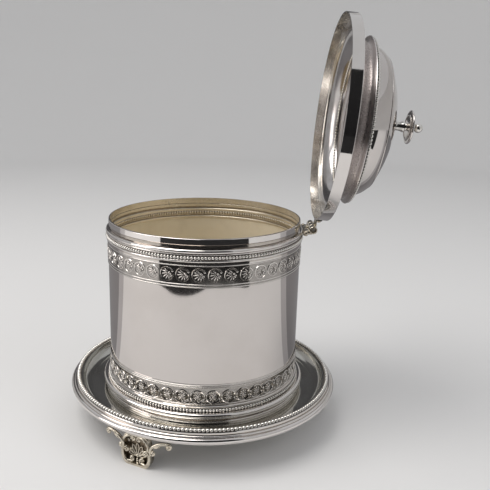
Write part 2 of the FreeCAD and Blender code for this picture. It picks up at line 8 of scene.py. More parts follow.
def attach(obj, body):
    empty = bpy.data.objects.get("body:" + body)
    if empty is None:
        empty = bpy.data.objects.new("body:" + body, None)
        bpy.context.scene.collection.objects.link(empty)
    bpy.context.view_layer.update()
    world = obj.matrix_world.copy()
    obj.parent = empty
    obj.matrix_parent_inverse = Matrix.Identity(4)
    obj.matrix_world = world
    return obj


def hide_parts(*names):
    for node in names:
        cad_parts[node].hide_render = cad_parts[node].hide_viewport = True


# Footed biscuit jar in silver plate, lid open. Shapes are written in millimetres in the
# CAD's own frame and shrunk to metres as each piece is finished.

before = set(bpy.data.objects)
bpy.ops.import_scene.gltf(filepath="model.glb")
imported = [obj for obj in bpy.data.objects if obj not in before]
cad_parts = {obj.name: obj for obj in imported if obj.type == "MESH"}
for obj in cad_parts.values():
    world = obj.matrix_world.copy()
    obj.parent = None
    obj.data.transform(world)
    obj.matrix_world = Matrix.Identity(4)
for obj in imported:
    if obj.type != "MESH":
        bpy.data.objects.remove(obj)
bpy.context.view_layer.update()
scene = bpy.context.scene
print("frame loaded,", len(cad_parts), "nodes")

hinge = {
    "pin": Vector((82.75, 0, 153.9)),
    "open": 95.35,           # degrees the lid is drawn back
}
lidTurn = (Matrix.Translation(hinge["pin"]) @ Matrix.Rotation(math.radians(hinge["open"]), 4, "Y")
           @ Matrix.Translation(-hinge["pin"]))


# Shading groups that several finishes share

def newGroup(name, inputs, outputs):
    group = bpy.data.node_groups.new(name, "ShaderNodeTree")
    for label, kind, value in inputs:
        socket = group.interface.new_socket(name=label, in_out="INPUT", socket_type=kind)
        if value is not None:
            socket.default_value = value
    for label, kind in outputs:
        group.interface.new_socket(name=label, in_out="OUTPUT", socket_type=kind)
    return group, group.nodes.new("NodeGroupInput"), group.nodes.new("NodeGroupOutput")


def addMath(tree, kind, first, second=None, third=None):
    node = tree.nodes.new("ShaderNodeMath")
    node.operation = kind
    for i, value in enumerate((first, second, third)):
        if value is None:
            continue
        if isinstance(value, (int, float)):
            node.inputs[i].default_value = value
        else:
            tree.links.new(value, node.inputs[i])
    return node.outputs[0]


def addNoise(tree, vector, size, detail=4.0, roughness=0.5, stretch=None):
    if stretch:
        mapping = tree.nodes.new("ShaderNodeMapping")
        mapping.inputs["Scale"].default_value = stretch
        tree.links.new(vector, mapping.inputs["Vector"])
        vector = mapping.outputs["Vector"]
    noise = tree.nodes.new("ShaderNodeTexNoise")
    noise.inputs["Detail"].default_value = detail
    noise.inputs["Roughness"].default_value = roughness
    tree.links.new(vector, noise.inputs["Vector"])
    if isinstance(size, (int, float)):
        noise.inputs["Scale"].default_value = size
    else:
        tree.links.new(size, noise.inputs["Scale"])
    return noise.outputs["Fac"]


def addRange(tree, value, low, high, toLow=0.0, toHigh=1.0):
    node = tree.nodes.new("ShaderNodeMapRange")
    node.interpolation_type = "SMOOTHSTEP"
    node.inputs["From Min"].default_value = low
    node.inputs["From Max"].default_value = high
    node.inputs["To Min"].default_value = toLow
    node.inputs["To Max"].default_value = toHigh
    tree.links.new(value, node.inputs["Value"])
    return node.outputs["Result"]


def makeTarnishAndShadeGroup():
    # 0 is clean silver and 1 full tarnish: dirt left in the hollows, and broken patches in the open; at the
    #                                       roots of the beads and in the finial's creases the hollow part is
    #                                       also painted shade
    group, inside, outside = newGroup("tarnishAndShade", [
        ("Vector", "NodeSocketVector", None),
        ("Hollow", "NodeSocketFloat", 0.0),
        ("Hollow Amount", "NodeSocketFloat", 0.8),
        ("Patch Scale", "NodeSocketFloat", 60.0),
        ("Patch Amount", "NodeSocketFloat", 0.2),
    ], [("Mask", "NodeSocketFloat")])
    broken = addNoise(group, inside.outputs["Vector"], 900.0, 3.0)         # specks of a millimetre
    dirtAndShade = addMath(group, "MULTIPLY", inside.outputs["Hollow"], inside.outputs["Hollow Amount"])
    dirtAndShade = addMath(group, "MULTIPLY", dirtAndShade, addRange(group, broken, 0.2, 0.55, 0.65, 1.0))
    patches = addNoise(group, inside.outputs["Vector"], inside.outputs["Patch Scale"], 6.0, 0.6)
    patches = addRange(group, patches, 0.42, 0.72)
    patches = addMath(group, "MULTIPLY", patches, inside.outputs["Patch Amount"])
    both = addMath(group, "MAXIMUM", dirtAndShade, patches)
    group.links.new(both, outside.inputs["Mask"])
    return group


def makeHandPolishGroup():
    # fine wiping marks, and the slow waver of sheet that was rolled and burnished by hand; heights in metres
    group, inside, outside = newGroup("handPolish", [
        ("Vector", "NodeSocketVector", None),
        ("Mark Scale", "NodeSocketFloat", 300.0),
        ("Mark Height", "NodeSocketFloat", 0.0000004),
        ("Waver Height", "NodeSocketFloat", 0.00004),
    ], [("Rub", "NodeSocketFloat"), ("Height", "NodeSocketFloat")])
    vector = inside.outputs["Vector"]
    across = addNoise(group, vector, inside.outputs["Mark Scale"], 3.0, 0.6, (1.0, 1.0, 14.0))
    aslant = addNoise(group, vector, inside.outputs["Mark Scale"], 2.0, 0.6, (6.0, 1.0, 1.5))
    cloud = addNoise(group, vector, 26.0, 5.0, 0.6)         # breath and finger bloom, a few centimetres wide
    waver = addNoise(group, vector, 15.0, 1.0, 0.4)
    marks = addMath(group, "MAXIMUM", across, aslant)
    rub = addMath(group, "MULTIPLY", addRange(group, marks, 0.45, 0.8), 0.45)
    rub = addMath(group, "ADD", rub, addRange(group, cloud, 0.35, 0.7, 0.0, 0.55))
    height = addMath(group, "MULTIPLY", marks, inside.outputs["Mark Height"])
    slow = addMath(group, "MULTIPLY", waver, inside.outputs["Waver Height"])
    group.links.new(rub, outside.inputs["Rub"])
    group.links.new(addMath(group, "ADD", height, slow), outside.inputs["Height"])
    return group


tarnishAndShadeGroup = makeTarnishAndShadeGroup()
handPolishGroup = makeHandPolishGroup()


# Finishes: every one is plated silver but the small steel fastenings

finishes = {
    "polishedSilver": {
        "clean": (0.81, 0.775, 0.75), "tarnishAndShade": (0.36, 0.31, 0.25), "smooth": 0.045, "dull": 0.14,
        "hollowAmount": 0.75, "patchScale": 22.0, "patchAmount": 0.10,
        "markScale": 260.0, "markHeight": 0.0000003, "waverHeight": 0.00006,
    },
    # a darker copy of polishedSilver: its lower clean colour is painted shade, for the dimmer surroundings
    # that the drum wall and the lid's dome reflect
    "shadedDrumSilver": {
        "clean": (0.69, 0.65, 0.625), "tarnishAndShade": (0.34, 0.29, 0.25), "smooth": 0.03, "dull": 0.10,
        "hollowAmount": 0.7, "patchScale": 16.0, "patchAmount": 0.14,
        "markScale": 260.0, "markHeight": 0.0000003, "waverHeight": 0.00006,
    },
    "lidFlare": {
        "clean": (0.70, 0.66, 0.65), "tarnishAndShade": (0.34, 0.29, 0.25), "smooth": 0.26, "dull": 0.4,
        "hollowAmount": 0.5, "patchScale": 16.0, "patchAmount": 0.14,
        "markScale": 260.0, "markHeight": 0.0000003, "waverHeight": 0.00003,
    },
    "traySilver": {
        "clean": (0.70, 0.69, 0.65), "tarnishAndShade": (0.20, 0.19, 0.16), "smooth": 0.06, "dull": 0.2,
        "hollowAmount": 0.8, "patchScale": 30.0, "patchAmount": 0.45,
        "markScale": 240.0, "markHeight": 0.0000004, "waverHeight": 0.00004,
    },
    # the near-black tarnish colour darkens bead roots and the finial's creases: partly tarnish, partly
    # painted shade
    "beadSilver": {
        "clean": (0.90, 0.875, 0.83), "tarnishAndShade": (0.04, 0.034, 0.028), "smooth": 0.10, "dull": 0.26,
        "hollowAmount": 1.0, "patchScale": 60.0, "patchAmount": 0.12,
        "markScale": 500.0, "markHeight": 0.0, "waverHeight": 0.0,
    },
    "friezeSilver": {
        "clean": (0.78, 0.745, 0.71), "tarnishAndShade": (0.10, 0.09, 0.075), "smooth": 0.05, "dull": 0.12,
        "hollowAmount": 0.6, "patchScale": 60.0, "patchAmount": 0.15,
        "markScale": 500.0, "markHeight": 0.0000002, "waverHeight": 0.00003,
    },
    "castSilver": {
        "clean": (0.72, 0.665, 0.56), "tarnishAndShade": (0.18, 0.142, 0.10), "smooth": 0.14, "dull": 0.36,
        "hollowAmount": 1.0, "patchScale": 160.0, "patchAmount": 0.5,
        "markScale": 700.0, "markHeight": 0.000003, "waverHeight": 0.0,
    },
    "satinInside": {
        "clean": (0.84, 0.765, 0.61), "tarnishAndShade": (0.60, 0.51, 0.36), "smooth": 0.42, "dull": 0.56,
        "metal": 0.4, "hollowAmount": 0.7, "patchScale": 26.0, "patchAmount": 0.4,
        "markScale": 320.0, "markHeight": 0.000002, "waverHeight": 0.00003,
    },
    "mouthInside": {
        "clean": (0.86, 0.80, 0.68), "tarnishAndShade": (0.26, 0.21, 0.15), "smooth": 0.2, "dull": 0.36,
        "metal": 0.85, "hollowAmount": 1.0, "patchScale": 40.0, "patchAmount": 0.3,
        "markScale": 320.0, "markHeight": 0.000001, "waverHeight": 0.00003,
    },
    "lidInside": {
        "clean": (0.86, 0.83, 0.775), "tarnishAndShade": (0.33, 0.29, 0.245), "smooth": 0.13, "dull": 0.34,
        "hollowAmount": 0.7, "patchScale": 55.0, "patchAmount": 1.0,
        "markScale": 260.0, "markHeight": 0.000001, "waverHeight": 0.00008,
    },
    "lidHollow": {
        "clean": (0.58, 0.555, 0.545), "tarnishAndShade": (0.30, 0.27, 0.245), "smooth": 0.13, "dull": 0.3,
        "hollowAmount": 0.8, "patchScale": 40.0, "patchAmount": 0.5,
        "markScale": 260.0, "markHeight": 0.000001, "waverHeight": 0.00004,
    },
    "fastenerSteel": {
        "clean": (0.52, 0.50, 0.47), "tarnishAndShade": (0.20, 0.15, 0.11), "smooth": 0.28, "dull": 0.45,
        "hollowAmount": 0.8, "patchScale": 300.0, "patchAmount": 0.7,
        "markScale": 900.0, "markHeight": 0.000002, "waverHeight": 0.0,
    },
}


def placeGroup(tree, group, vector, settings):
    node = tree.nodes.new("ShaderNodeGroup")
    node.node_tree = group
    for label, value in settings.items():
        node.inputs[label].default_value = value
    tree.links.new(vector, node.inputs["Vector"])
    return node


def makeFinish(name, values):
    material = bpy.data.materials.new(name)
    material.use_nodes = True
    tree = material.node_tree
    shader = tree.nodes["Principled BSDF"]
    shader.inputs["Metallic"].default_value = values.get("metal", 1.0)
    where = tree.nodes.new("ShaderNodeTexCoord").outputs["Object"]
    hollow = tree.nodes.new("ShaderNodeAttribute")
    hollow.attribute_name = "hollow"
    tarnishAndShade = placeGroup(tree, tarnishAndShadeGroup, where, {
        "Hollow Amount": values["hollowAmount"], "Patch Scale": values["patchScale"],
        "Patch Amount": values["patchAmount"],
    })
    tree.links.new(hollow.outputs["Fac"], tarnishAndShade.inputs["Hollow"])
    polish = placeGroup(tree, handPolishGroup, where, {
        "Mark Scale": values["markScale"], "Mark Height": values["markHeight"],
        "Waver Height": values["waverHeight"],
    })
    colour = tree.nodes.new("ShaderNodeMix")
    colour.data_type = "RGBA"
    colour.inputs["A"].default_value = (*values["clean"], 1.0)
    colour.inputs["B"].default_value = (*values["tarnishAndShade"], 1.0)
    tree.links.new(tarnishAndShade.outputs["Mask"], colour.inputs["Factor"])
    tree.links.new(colour.outputs["Result"], shader.inputs["Base Color"])
    stained = addMath(tree, "MULTIPLY", tarnishAndShade.outputs["Mask"], 1.2)
    dulled = addMath(tree, "ADD", polish.outputs["Rub"], stained)
    rough = addRange(tree, dulled, 0.0, 1.6, values["smooth"], values["dull"])
    tree.links.new(rough, shader.inputs["Roughness"])
    if values["markHeight"] or values["waverHeight"]:
        bump = tree.nodes.new("ShaderNodeBump")
        bump.inputs["Distance"].default_value = 1.0
        tree.links.new(polish.outputs["Height"], bump.inputs["Height"])
        tree.links.new(bump.outputs["Normal"], shader.inputs["Normal"])
    return material


finish = {name: makeFinish(name, values) for name, values in finishes.items()}
print("finishes made:", len(finish))


# Tools of the bench

weld = 0.002             # points nearer than this become one


def everything(bm):
    return bm.verts[:] + bm.edges[:] + bm.faces[:]


def cutAway(bm, place, facing, near=0.0001):
    # what lies on the side that the plane faces goes
    bmesh.ops.bisect_plane(bm, geom=everything(bm), dist=near, plane_co=place, plane_no=facing,
                           clear_outer=True)


def closeHoles(bm):
    bmesh.ops.holes_fill(bm, edges=[e for e in bm.edges if e.is_boundary], sides=0)


def repeatRound(bm, count):
    # what was made once stands count times round the axis
    bmesh.ops.spin(bm, geom=everything(bm), cent=(0, 0, 0), axis=(0, 0, 1),
                   angle=2 * math.pi * (count - 1) / count, steps=count - 1, use_duplicate=True)


def hollowLayer(bm):
    return bm.verts.layers.float.get("hollow") or bm.verts.layers.float.new("hollow")


def markHollows(bm, dirtAndShade):
    # the given function tells from a place how hollow it is, 0 to 1; tarnish gathers there, and on the beads
    # it is also painted shade
    layer = hollowLayer(bm)
    for v in bm.verts:
        v[layer] = max(0.0, min(1.0, dirtAndShade(v.co)))


def markCorners(bm, gain):
    # tarnish gathers where two faces fold inwards; on the finial, with the near-black bead finish, the crease
    # is also painted shade
    layer = hollowLayer(bm)
    for v in bm.verts:
        fold = sum(min(e.calc_face_angle_signed(0.0), 0.0) for e in v.link_edges if len(e.link_faces) == 2)
        v[layer] = max(v[layer], min(1.0, -fold * gain))


def join(target, extra):
    # pour one bmesh into another and keep its hollow marks
    hollowLayer(target)
    mesh = bpy.data.meshes.new("passing")
    extra.to_mesh(mesh)
    extra.free()
    target.from_mesh(mesh)
    bpy.data.meshes.remove(mesh)


def drawOutline(bm, outline, fineness):
    # (radius, height) corners; one that ends an arc adds the arc's radius and its turn, 1 anticlockwise
    corners = [Vector((p[0], 0, p[1])) for p in outline]
    last = bm.verts.new(corners[0])
    for i, start in enumerate(corners):
        target = outline[(i + 1) % len(outline)]
        end = corners[(i + 1) % len(outline)]
        if len(target) == 4:
            chord = end - start
            half = chord.length / 2
            across = Vector((-chord.z, 0, chord.x)).normalized()
            centre = start + chord / 2 + across * math.sqrt(max(target[2] ** 2 - half ** 2, 0)) * target[3]
            sweep = 2 * math.asin(min(half / target[2], 1))
            steps = max(2, math.ceil(sweep / math.radians(fineness)))
            made = bmesh.ops.spin(bm, geom=[last], cent=centre, axis=(0, -target[3], 0), angle=sweep,
                                  steps=steps)
            last = [e for e in made["geom_last"] if isinstance(e, bmesh.types.BMVert)][0]
        else:
            new = bm.verts.new(end)
            bm.edges.new((last, new))
            last = new
    bmesh.ops.remove_doubles(bm, verts=bm.verts, dist=weld)


def turn(outline, segments, fineness):
    # a solid of revolution about Z; the outline's arcs have a corner every fineness degrees
    bm = bmesh.new()
    drawOutline(bm, outline, fineness)
    bmesh.ops.spin(bm, geom=bm.verts[:] + bm.edges[:], cent=(0, 0, 0), axis=(0, 0, 1), angle=2 * math.pi,
                   steps=segments, use_merge=True)
    bmesh.ops.remove_doubles(bm, verts=bm.verts, dist=weld)
    bmesh.ops.recalc_face_normals(bm, faces=bm.faces)
    return bm


def ball(bm, centre, size, across=10, down=6, matrix=None):
    # a blob: size is a radius, or three of them
    sizes = (size, size, size) if isinstance(size, (int, float)) else size
    made = bmesh.ops.create_uvsphere(bm, u_segments=across, v_segments=down, radius=1.0)
    bmesh.ops.scale(bm, vec=sizes, verts=made["verts"])
    if matrix is not None:
        bmesh.ops.transform(bm, matrix=matrix, verts=made["verts"])
    bmesh.ops.translate(bm, vec=centre, verts=made["verts"])
    return made["verts"]


def hoop(bm, centre, start, radius, thick, steps, sides):
    # a ring of round wire that lies flat: start points from its centre to where it begins
    start = Vector(start)
    normal = Vector((0, 0, 1))
    made = bmesh.ops.create_circle(bm, segments=sides, radius=thick, cap_ends=False)
    turned = Matrix((start, normal, start.cross(normal))).transposed().to_4x4()
    place = Matrix.Translation(Vector(centre) + start * radius)
    bmesh.ops.transform(bm, matrix=place @ turned, verts=made["verts"])
    edges = list(dict.fromkeys(e for v in made["verts"] for e in v.link_edges))
    bmesh.ops.spin(bm, geom=made["verts"] + edges, cent=centre, axis=normal, angle=2 * math.pi,
                   steps=steps, use_merge=True)


def vine(bm, points, sides=3):
    # a tapering stem: each point is x, y, z and its thickness there
    curve = bpy.data.curves.new("stem", "CURVE")
    curve.dimensions = "3D"
    curve.bevel_depth = 1.0
    curve.bevel_resolution = sides
    curve.resolution_u = 4
    curve.use_fill_caps = True
    spline = curve.splines.new("NURBS")
    spline.points.add(len(points) - 1)
    for point, (x, y, z, thick) in zip(spline.points, points):
        point.co = (x, y, z, 1.0)
        point.radius = thick
    spline.order_u = 3
    spline.use_endpoint_u = True
    stem = bpy.data.objects.new("stem", curve)
    mesh = bpy.data.meshes.new_from_object(stem)
    bm.from_mesh(mesh)
    bpy.data.objects.remove(stem)
    bpy.data.curves.remove(curve)
    bpy.data.meshes.remove(mesh)


def curl(centre, outer, inner, fromAngle, turns, thickFrom, thickTo, x, hand, steps):
    # points of a scroll in the y-z plane, wound inwards
    points = []
    for i in range(steps + 1):
        share = i / steps
        angle = math.radians(fromAngle) + hand * turns * 2 * math.pi * share
        radius = outer + (inner - outer) * share
        points.append((x, centre[0] + radius * math.cos(angle), centre[1] + radius * math.sin(angle),
                       thickFrom + (thickTo - thickFrom) * share))
    return points


def finishPiece(name, bm, body, look, nodes=(), crease=32, weighted=False):
    if body == "lid":
        bmesh.ops.transform(bm, matrix=lidTurn, verts=bm.verts)       # drawn shut, then opened
    bmesh.ops.scale(bm, vec=(0.001, 0.001, 0.001), verts=bm.verts)
    mesh = bpy.data.meshes.new(name)
    bm.to_mesh(mesh)
    bm.free()
    mesh.shade_smooth()
    mesh.set_sharp_from_angle(angle=math.radians(crease))
    piece = bpy.data.objects.new(name, mesh)
    scene.collection.objects.link(piece)
    mesh.materials.append(finish[look])
    if weighted:
        modifier = piece.modifiers.new("evenShading", "WEIGHTED_NORMAL")
        modifier.keep_sharp = True
        modifier.weight = 80
    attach(piece, body)
    if nodes:
        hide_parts(*nodes)
    return piece


def turnPiece(name, values):
    # the corner-darkening key is the gain of markCorners: tarnish, and painted shade where the finish is the
    # near-black bead one; inside is the second finish, and the test for a face that has it
    bm = turn(values["outline"], values["segments"], values["fineness"])
    if values["dirtAndShade"]:
        markCorners(bm, values["dirtAndShade"])
    innerLook, isInside = values.get("inside", (None, None))
    marks = [isInside(f) for f in bm.faces] if innerLook else []
    piece = finishPiece(name, bm, values["body"], values["look"],
                        [values["node"]], weighted=values.get("even", True))
    if innerLook:
        piece.data.materials.append(finish[innerLook])
    for polygon, inner in zip(piece.data.polygons, marks):
        polygon.material_index = 1 if inner else 0


def facesAxis(f):
    middle = f.calc_center_median()
    return f.normal.x * middle.x + f.normal.y * middle.y < -0.2 * math.hypot(middle.x, middle.y)


def facesDown(f):
    return f.normal.z < -0.05 or facesAxis(f)


# Beading

beadings = {
    "rimBeading": {
        "body": "jar", "node": "rim_bead_wire", "radius": 74.8, "height": 148.3, "bead": 1.25,
        "back": 74.55, "count": 200, "across": 10, "down": 6, "clean": 1.05,
    },
    "baseBeading": {
        "body": "jar", "node": "base_bead_wire", "radius": 75.3, "height": 35.5, "bead": 1.25,
        "back": 75.05, "count": 200, "across": 10, "down": 6, "clean": 1.05,
    },
    "trayBeading": {
        "body": "jar", "node": "tray_bead_wire", "radius": 100.1, "height": 34.4, "bead": 1.5,
        "seat": 33.7, "count": 224, "across": 10, "down": 8, "clean": 1.0,
    },
    "lidBeading": {
        "body": "lid", "node": "lid_bead_wire", "radius": 58.9, "height": 174.9, "bead": 1.3,
        "seat": 174.2, "count": 148, "across": 10, "down": 8, "clean": 1.0,
    },
}


def beadRing(values):
    # one bead, cut off where it is soldered to a wall or a seat, then copied round the axis
    onWall = "back" in values
    place = Vector((values["back"], 0, 0) if onWall else (0, 0, values["seat"]))
    facing = Vector((-1, 0, 0) if onWall else (0, 0, -1))
    bm = bmesh.new()
    ball(bm, (values["radius"], 0, values["height"]), values["bead"], values["across"], values["down"],
         Matrix.Rotation(math.pi / 2, 4, "Y") if onWall else None)
    cutAway(bm, place, facing, 0.001)
    closeHoles(bm)
    bmesh.ops.recalc_face_normals(bm, faces=bm.faces)
    # darker from the tip towards the root, where the bead meets its wall or seat: tarnish, and painted shade
    # there too
    markHollows(bm, lambda co: 1.0 - (place - co).dot(facing) / (values["bead"] * values["clean"]))
    repeatRound(bm, values["count"])
    return bm


for name, values in beadings.items():
    finishPiece(name, beadRing(values), values["body"], "beadSilver", [values["node"]],
                crease=60)
print("beading strung")


# The drum, its bottom and the collar in its mouth

drum = {"outside": 74.2, "inside": 73.3, "foot": 36.0, "top": 153.6, "bottom": 1.0, "bottomRing": 4.0}
bottomTop = drum["foot"] + drum["bottom"]

turnPiece("drumWall", {
    "body": "jar", "node": "body_drum", "look": "shadedDrumSilver", "inside": ("satinInside", facesAxis),
    "segments": 320, "fineness": 15, "dirtAndShade": 1.4,
    "outline": [
        (drum["inside"], drum["foot"]), (drum["outside"], drum["foot"]),
        (drum["outside"], drum["top"]), (drum["inside"], drum["top"]),
    ],
})
turnPiece("bottomPlate", {
    "body": "jar", "node": "body_bottom", "slot": "satin_inside", "look": "satinInside",
    "segments": 160, "fineness": 15, "dirtAndShade": 0, "even": False,
    "outline": [
        (0, drum["foot"]), (drum["inside"], drum["foot"]), (drum["inside"], bottomTop),
        (drum["inside"] - drum["bottomRing"], bottomTop), (0, bottomTop),
    ],
})

# the rim's reeds and beads are stamped through, so they show as hollows inside the collar
collar = {
    "inside": 72.6, "sleeve": 73.3, "proud": 73.7, "lip": 73.2, "lipRound": 0.6,
    "foot": 143.6, "flare": 156.4, "neck": 156.8, "shoulder": 160.5, "top": 161.0,
    "hollows": [(155.9, 156.6, 0.5), (151.5, 154.0, 1.75), (144.9, 146.6, 1.15)],      # low, high, radius
    "channelLow": 146.9, "channelHigh": 149.7, "channelDepth": 0.3,
    "beads": {"height": 148.3, "size": (0.42, 0.92, 1.25), "count": 200, "sunk": 0.02, "dirtDepth": 0.25},
}
inside = collar["inside"]
deep = inside + collar["channelDepth"]
mouth = [
    (collar["sleeve"], collar["foot"]), (collar["sleeve"], collar["flare"]),
    (collar["proud"], collar["neck"]), (collar["proud"], collar["shoulder"]),
    (collar["lip"], collar["top"], collar["lipRound"], 1), (inside, collar["top"]),
]
for low, high, bulge in collar["hollows"]:
    if low < collar["channelLow"]:
        # the beads stand in a channel
        mouth += [(inside, collar["channelHigh"]), (deep, collar["channelHigh"]),
                  (deep, collar["channelLow"]), (inside, collar["channelLow"])]
    mouth += [(inside, high), (inside, low, bulge, -1)]
mouth.append((inside, collar["foot"]))
turnPiece("mouthCollar", {
    "body": "jar", "node": "mouth_bezel", "look": "polishedSilver", "inside": ("mouthInside", facesAxis),
    "segments": 320, "fineness": 18, "dirtAndShade": 1.6, "outline": mouth,
})

spot = collar["beads"]
back = deep + spot["sunk"]
dimples = bmesh.new()
ball(dimples, (deep, 0, spot["height"]), spot["size"], 8, 6)
cutAway(dimples, (back, 0, 0), (1, 0, 0), 0.001)
markHollows(dimples, lambda co: 1.0 - (back - co.x) / spot["dirtDepth"])
repeatRound(dimples, spot["count"])
finishPiece("collarDimples", dimples, "jar", "mouthInside", crease=60)
print("drum and collar raised")


# Rim moulding: reed, bead seat, fine reed and the roll on which the lid shuts

rim = {"back": 74.2, "face": 74.7, "low": 143.2, "high": 153.85, "beadSeat": 74.55}
turnPiece("rimMoulding", {
    "body": "jar", "node": "rim_moulding", "look": "polishedSilver",
    "segments": 320, "fineness": 15, "dirtAndShade": 1.4,
    "outline": [
        (rim["back"], rim["low"]), (rim["face"], rim["low"]), (rim["face"], 144.9),
        (rim["face"], 146.7, 0.95, 1), (rim["beadSeat"], 146.9), (rim["beadSeat"], 149.7),
        (rim["face"], 149.8), (rim["face"], 150.8, 0.6, 1), (rim["face"], 150.95),
        (rim["face"], rim["high"], 1.5, 1), (rim["back"], rim["high"]),
    ],
})


# Friezes: palmettes in rings, stamped round each band

motif = {
    "count": 42, "back": 74.2, "face": 74.5, "relief": 0.5, "dirtDepth": 0.3, "wire": 0.45,
    "gap": 5.575,            # from the middle of a motif to midway between two, along the band
}
pendant = {
    "ring": 4.85,
    # degrees round the ring, and its thickness there
    "wire": [(33, 0.55), (48, 0.62), (72, 0.68), (98, 0.66), (124, 0.58), (150, 0.48), (178, 0.36),
             (206, 0.3), (234, 0.3), (262, 0.32), (290, 0.32), (318, 0.28), (344, 0.24), (366, 0.2)],
    "knob": (4.15, 2.3, 0.1), "knobSize": (0.8, 0.8, 0.5),
    "root": (1.8, 1.0), "rootSize": (0.95, 0.8, 0.55), "eye": (1.25, -1.6), "eyeSize": 0.75, "eyeWire": 0.25,
    "petals": range(142, 318, 25), "petalWidth": 0.5, "petalHeight": 0.45, "petalStart": 0.7, "reach": 4.0,
}
rosette = {
    "rings": [(0.05, 4.95, 0.42, 28, 6), (0.0, 4.0, 0.15, 24, 4)],      # height, radius, wire, steps, sides
    "knobSize": (0.75, 0.7, 0.5), "root": 0.3, "petalHeight": 0.42,
    "petals": [(-76, 2.9, 0.42), (-40, 3.3, 0.5), (0, 3.5, 0.6), (40, 3.3, 0.5), (76, 2.9, 0.42)],
    "sprigRoot": 2.3, "sprig": [(-38, 2.4), (0, 2.8), (38, 2.4)], "sprigWidth": 0.34, "sprigHeight": 0.3,
    "dark": [(-0.15, 1.2), (0.15, 1.2), (1.9, 4.0), (3.2, 5.6), (-3.2, 5.6), (-1.9, 4.0)],
}


def flatPetal(bm, root, degrees, long, wide, high):
    # drawn flat: x along the band, y up it, z out of it; broad towards the tip
    verts = ball(bm, (0, 0, 0), (long / 2, wide, high), 7, 6)
    for v in verts:
        v.co.y *= 0.4 + 0.75 * (v.co.x / long + 0.5)
    bmesh.ops.translate(bm, verts=verts, vec=(long / 2, 0, 0))
    bmesh.ops.rotate(bm, verts=verts, matrix=Matrix.Rotation(math.radians(degrees), 3, "Z"))
    bmesh.ops.translate(bm, verts=verts, vec=(*root, 0))


def pendantMotif():
    # an open ring, heavy over the top and ending in a knob, round a palmette that hangs
    bm = bmesh.new()
    ring = []
    for degrees, thick in pendant["wire"]:
        around = math.radians(degrees)
        ring.append((pendant["ring"] * math.cos(around), pendant["ring"] * math.sin(around), 0.05, thick))
    vine(bm, ring, sides=1)
    ball(bm, pendant["knob"], pendant["knobSize"], 8, 6)
    x, y = pendant["root"]
    first = pendant["petalStart"]
    for degrees in pendant["petals"]:
        away = math.radians(degrees)
        # long enough to reach a circle round the middle
        inward = x * math.cos(away) + y * math.sin(away)
        tip = -inward + math.sqrt(inward ** 2 + pendant["reach"] ** 2 - x ** 2 - y ** 2)
        start = (x + first * math.cos(away), y + first * math.sin(away))
        flatPetal(bm, start, degrees, tip - first, pendant["petalWidth"], pendant["petalHeight"])
    ball(bm, (x, y, 0.05), pendant["rootSize"], 8, 6)
    eyeX, eyeY = pendant["eye"]
    hoop(bm, (x + eyeX, y + eyeY, 0.05), (0, 1, 0), pendant["eyeSize"], pendant["eyeWire"], 9, 5)
    return bm


def rosetteMotif():
    # a closed ring round two small palmettes, one up and one down, and a sprig in each gap
    bm = bmesh.new()
    for height, radius, thick, steps, sides in rosette["rings"]:
        hoop(bm, (0, 0, height), (1, 0, 0), radius, thick, steps, sides)
    ball(bm, (0, 0, 0.05), rosette["knobSize"], 8, 6)
    gap = motif["gap"]
    for end in (-1, 1):
        for lean, long, wide in rosette["petals"]:
            flatPetal(bm, (0, end * rosette["root"]), end * 90 + lean, long, wide, rosette["petalHeight"])
        for lean, long in rosette["sprig"]:
            flatPetal(bm, (gap, end * rosette["sprigRoot"]), end * 90 + lean, long,
                      rosette["sprigWidth"], rosette["sprigHeight"])
        # a dark patch just proud of the field: painted shade in the hollow between two rings
        dark = [bm.verts.new((gap + x, end * y, 0.02)) for x, y in rosette["dark"]]
        bm.faces.new(dark[::end])
    return bm


def stampRound(bm, middle):
    # cut off what lies in the band, bend the rest round it and repeat
    cutAway(bm, (0, 0, 0), (0, 0, -1), 0.0005)
    for v in bm.verts:
        v.co.z = min(v.co.z, motif["relief"])
    markHollows(bm, lambda co: 1.0 - co.z / motif["dirtDepth"])
    for v in bm.verts:
        angle = v.co.x / motif["face"]
        radius = motif["face"] + v.co.z
        v.co = (radius * math.sin(angle), -radius * math.cos(angle), middle + v.co.y)
    repeatRound(bm, motif["count"])
    return bm


def friezeBand(values):
    field, wire = motif["face"], motif["wire"]
    outline = [(motif["back"], values["low"]), (field, values["low"])]
    for height in values["lines"]:
        outline += [(field, height - wire + 0.03), (field, height + wire - 0.03, wire, 1)]
    outline += [(field, values["high"]), (motif["back"], values["high"])]
    bm = turn(outline, 320, 22)
    markCorners(bm, 0.8)
    join(bm, stampRound(values["motif"](), values["middle"]))
    return bm


friezes = {
    "upperFrieze": {
        "node": "upper_frieze_band", "low": 126.6, "high": 143.2, "lines": (127.4, 129.2, 142.5),
        "motif": pendantMotif, "middle": 135.8,
    },
    "lowerFrieze": {
        "node": "lower_frieze_band", "low": 38.6, "high": 55.2, "lines": (39.8, 52.8, 54.1),
        "motif": rosetteMotif, "middle": 45.6,
    },
}
for name, values in friezes.items():
    finishPiece(name, friezeBand(values), "jar", "friezeSilver", [values["node"]], crease=50)
print("friezes chased")


# Foot of the jar, and the tray it stands on

